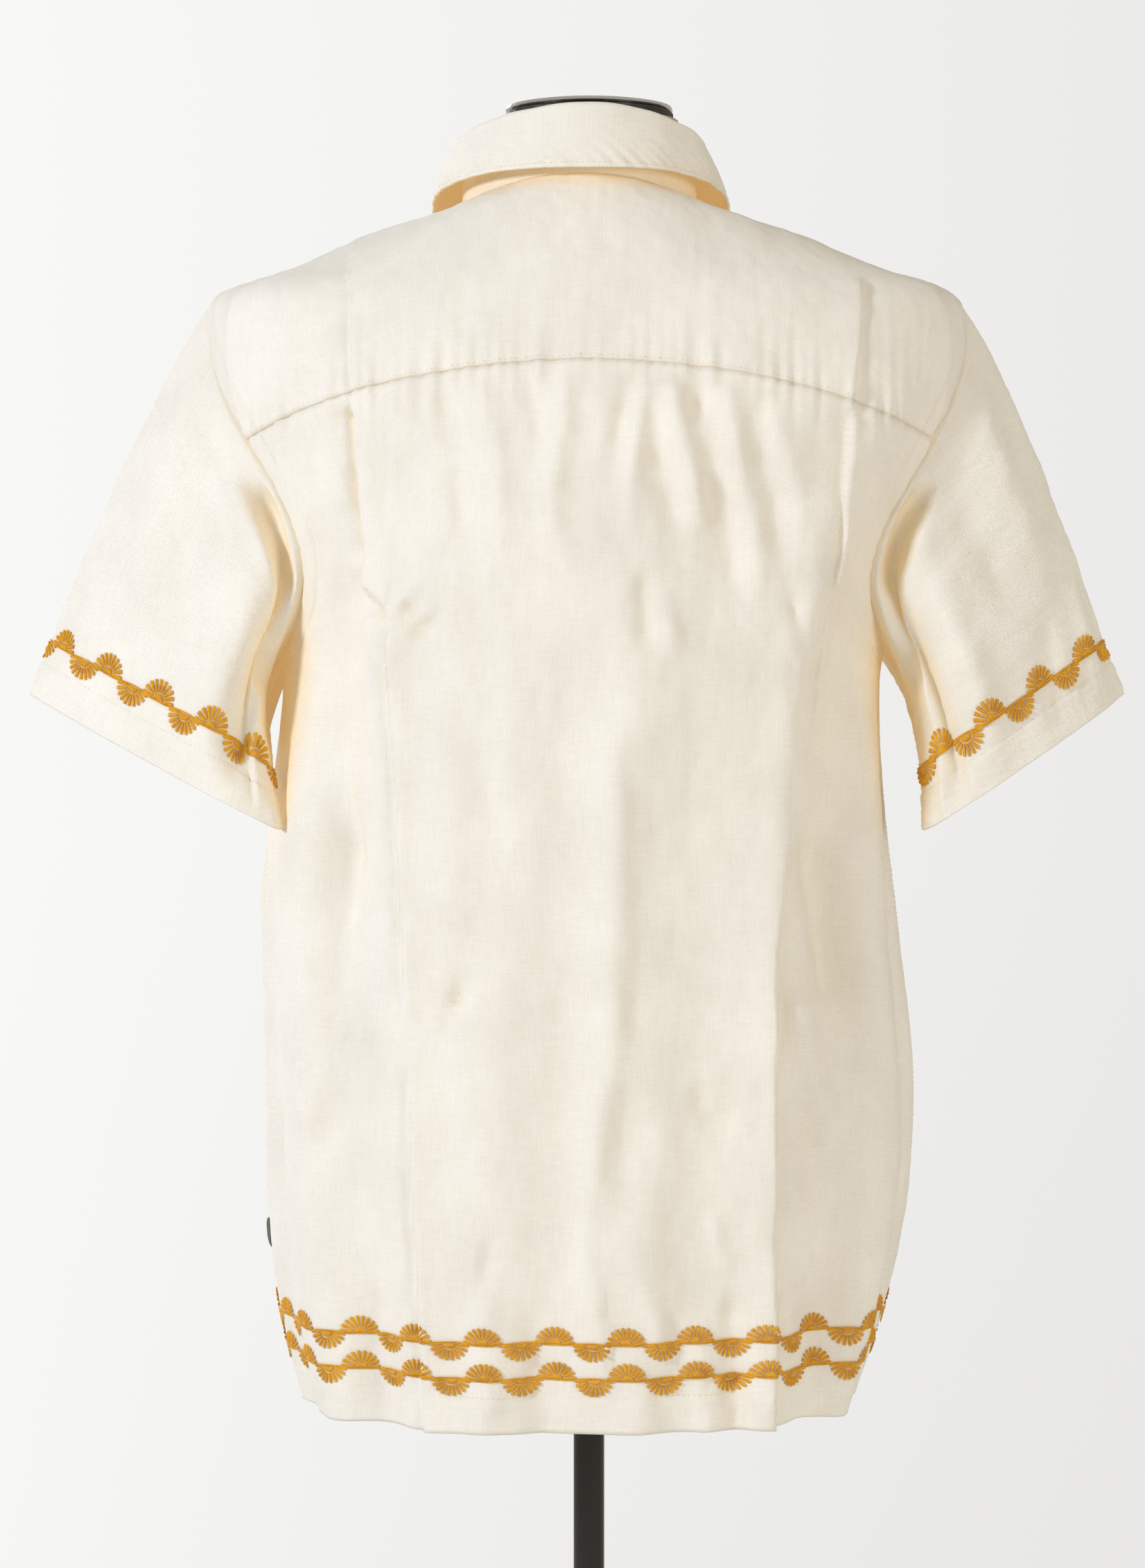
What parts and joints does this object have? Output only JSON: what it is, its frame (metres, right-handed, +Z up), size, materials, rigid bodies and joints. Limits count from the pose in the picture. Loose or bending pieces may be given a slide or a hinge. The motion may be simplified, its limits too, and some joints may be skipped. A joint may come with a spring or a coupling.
{
  "type": "short-sleeve shirt on a limbless dress form",
  "caption": "Buttoned short-sleeve shirt with a folded collar, back yoke and set-in sleeves, worn on a limbless dress form on a pole with a round base.",
  "frame": {"origin": "centre of the base plate's underside, on the floor below the pole", "axes": "+Z up along the pole; the shirt's buttoned front faces -Y and its back +Y; the wearer's left is +X"},
  "size_m": [0.6666, 0.38, 1.5603],
  "materials": {
    "shirt_cloth": "cream cotton and linen plain weave",
    "button": "satin cream",
    "side_tab": "black woven tape",
    "form_cloth": "beige jersey",
    "black_plate": "matt black",
    "chrome_cap": "polished",
    "black_paint": "semi-gloss black"
  },
  "bodies": {
    "root": {"back": "shirt_cloth", "yoke": "shirt_cloth", "front_left": "shirt_cloth", "front_right": "shirt_cloth", "placket": "shirt_cloth", "sleeve_left": "shirt_cloth", "sleeve_right": "shirt_cloth", "collar_stand": "shirt_cloth", "collar_leaf": "shirt_cloth", "button_1": "button", "button_2": "button", "button_3": "button", "button_4": "button", "button_5": "button", "button_6": "button", "button_stand": "button", "side_label": "side_tab", "form_torso": "form_cloth", "neck_plate": "black_plate", "neck_cap": "chrome_cap", "pole": "black_paint", "hub": "black_paint", "base_plate": "black_paint"}
  },
  "joints": []
}
